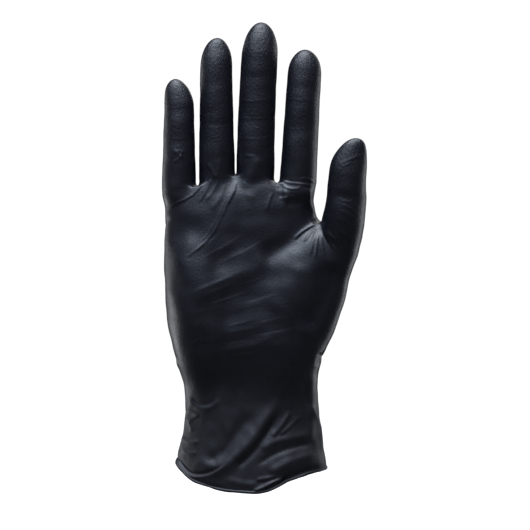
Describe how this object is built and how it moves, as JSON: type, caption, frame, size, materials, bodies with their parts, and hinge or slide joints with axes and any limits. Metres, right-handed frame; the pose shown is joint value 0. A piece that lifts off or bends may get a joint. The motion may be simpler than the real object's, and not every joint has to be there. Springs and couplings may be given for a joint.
{
  "type": "disposable glove",
  "caption": "Right-hand disposable nitrile glove in its worn shape: open cuff with a rolled rim, wrist, palm, thumb stall and finger stalls that flex at their joints.",
  "frame": {"origin": "centre of the cuff opening, on the plane of the rolled rim", "axes": "+Z along the hand from the cuff to the fingertips, -Y out of the palm, +X towards the thumb"},
  "size_m": [0.1055, 0.043, 0.2407],
  "materials": {
    "nitrile_film": "satin black nitrile film, finely textured",
    "nitrile_bead": "satin black nitrile, rolled"
  },
  "bodies": {
    "cuff": {"cuff_sleeve": "nitrile_film", "cuff_bead": "nitrile_bead"},
    "palm": {"palm_shell": "nitrile_film", "wrist_fold": "nitrile_film", "little_root_fold": "nitrile_film", "ring_root_fold": "nitrile_film", "middle_root_fold": "nitrile_film", "index_root_fold": "nitrile_film", "thumb_root_fold": "nitrile_film"},
    "little_proximal": {"little_proximal_stall": "nitrile_film", "little_middle_fold": "nitrile_film"},
    "little_middle": {"little_middle_stall": "nitrile_film", "little_tip_fold": "nitrile_film"},
    "little_tip": {"little_tip_stall": "nitrile_film"},
    "ring_proximal": {"ring_proximal_stall": "nitrile_film", "ring_middle_fold": "nitrile_film"},
    "ring_middle": {"ring_middle_stall": "nitrile_film", "ring_tip_fold": "nitrile_film"},
    "ring_tip": {"ring_tip_stall": "nitrile_film"},
    "middle_proximal": {"middle_proximal_stall": "nitrile_film", "middle_middle_fold": "nitrile_film"},
    "middle_middle": {"middle_middle_stall": "nitrile_film", "middle_tip_fold": "nitrile_film"},
    "middle_tip": {"middle_tip_stall": "nitrile_film"},
    "index_proximal": {"index_proximal_stall": "nitrile_film", "index_middle_fold": "nitrile_film"},
    "index_middle": {"index_middle_stall": "nitrile_film", "index_tip_fold": "nitrile_film"},
    "index_tip": {"index_tip_stall": "nitrile_film"},
    "thumb_proximal": {"thumb_proximal_stall": "nitrile_film", "thumb_tip_fold": "nitrile_film"},
    "thumb_tip": {"thumb_tip_stall": "nitrile_film"}
  },
  "joints": [
    {"name": "wrist_flex", "type": "hinge", "parent": "cuff", "child": "palm", "pos_m": [0, 0, 0.035], "axis": [1, 0, 0], "range_deg": [-45, 60], "stiffness_Nm_per_rad": 0.2, "deforming": ["wrist_fold"]},
    {"name": "little_root_flex", "type": "hinge", "parent": "palm", "child": "little_proximal", "pos_m": [-0.0375, 0, 0.1535], "axis": [1, 0, 0], "range_deg": [0, 65], "stiffness_Nm_per_rad": 0.004, "deforming": ["little_root_fold"]},
    {"name": "little_middle_flex", "type": "hinge", "parent": "little_proximal", "child": "little_middle", "pos_m": [-0.0375, 0, 0.169], "axis": [1, 0, 0], "range_deg": [0, 80], "stiffness_Nm_per_rad": 0.003, "deforming": ["little_middle_fold"]},
    {"name": "little_tip_flex", "type": "hinge", "parent": "little_middle", "child": "little_tip", "pos_m": [-0.0375, 0, 0.184], "axis": [1, 0, 0], "range_deg": [0, 49], "stiffness_Nm_per_rad": 0.002, "deforming": ["little_tip_fold"]},
    {"name": "ring_root_flex", "type": "hinge", "parent": "palm", "child": "ring_proximal", "pos_m": [-0.0183, 0, 0.159], "axis": [1, 0, 0.0048], "range_deg": [0, 65], "stiffness_Nm_per_rad": 0.004, "deforming": ["ring_root_fold"]},
    {"name": "ring_middle_flex", "type": "hinge", "parent": "ring_proximal", "child": "ring_middle", "pos_m": [-0.01839, 0, 0.1775], "axis": [1, 0, 0.0048], "range_deg": [0, 80], "stiffness_Nm_per_rad": 0.003, "deforming": ["ring_middle_fold"]},
    {"name": "ring_tip_flex", "type": "hinge", "parent": "ring_middle", "child": "ring_tip", "pos_m": [-0.01848, 0, 0.1975], "axis": [1, 0, 0.0048], "range_deg": [0, 49], "stiffness_Nm_per_rad": 0.002, "deforming": ["ring_tip_fold"]},
    {"name": "middle_root_flex", "type": "hinge", "parent": "palm", "child": "middle_proximal", "pos_m": [0.0018, 0, 0.1595], "axis": [0.9997, 0, -0.0227], "range_deg": [0, 65], "stiffness_Nm_per_rad": 0.004, "deforming": ["middle_root_fold"]},
    {"name": "middle_middle_flex", "type": "hinge", "parent": "middle_proximal", "child": "middle_middle", "pos_m": [0.00225, 0, 0.17949], "axis": [0.9997, 0, -0.0227], "range_deg": [0, 80], "stiffness_Nm_per_rad": 0.003, "deforming": ["middle_middle_fold"]},
    {"name": "middle_tip_flex", "type": "hinge", "parent": "middle_middle", "child": "middle_tip", "pos_m": [0.00275, 0, 0.20149], "axis": [0.9997, 0, -0.0227], "range_deg": [0, 49], "stiffness_Nm_per_rad": 0.002, "deforming": ["middle_tip_fold"]},
    {"name": "index_root_flex", "type": "hinge", "parent": "palm", "child": "index_proximal", "pos_m": [0.0237, 0, 0.157], "axis": [0.998, 0, -0.0626], "range_deg": [0, 65], "stiffness_Nm_per_rad": 0.004, "deforming": ["index_root_fold"]},
    {"name": "index_middle_flex", "type": "hinge", "parent": "index_proximal", "child": "index_middle", "pos_m": [0.02486, 0, 0.17546], "axis": [0.998, 0, -0.0626], "range_deg": [0, 80], "stiffness_Nm_per_rad": 0.003, "deforming": ["index_middle_fold"]},
    {"name": "index_tip_flex", "type": "hinge", "parent": "index_middle", "child": "index_tip", "pos_m": [0.02614, 0, 0.19592], "axis": [0.998, 0, -0.0626], "range_deg": [0, 49], "stiffness_Nm_per_rad": 0.002, "deforming": ["index_tip_fold"]},
    {"name": "thumb_root_flex", "type": "hinge", "parent": "palm", "child": "thumb_proximal", "pos_m": [0.046, -0.0069, 0.129], "axis": [0.9888, 0, -0.1495], "range_deg": [-10, 30], "stiffness_Nm_per_rad": 0.004, "deforming": ["thumb_root_fold"]},
    {"name": "thumb_tip_flex", "type": "hinge", "parent": "thumb_proximal", "child": "thumb_tip", "pos_m": [0.04792, -0.00909, 0.14167], "axis": [0.9888, 0, -0.1495], "range_deg": [0, 60], "stiffness_Nm_per_rad": 0.002, "deforming": ["thumb_tip_fold"]}
  ],
  "couplings": [
    {"joint": "little_tip_flex", "follows": "little_middle_flex", "ratio": 0.6},
    {"joint": "ring_tip_flex", "follows": "ring_middle_flex", "ratio": 0.6},
    {"joint": "middle_tip_flex", "follows": "middle_middle_flex", "ratio": 0.6},
    {"joint": "index_tip_flex", "follows": "index_middle_flex", "ratio": 0.6}
  ]
}
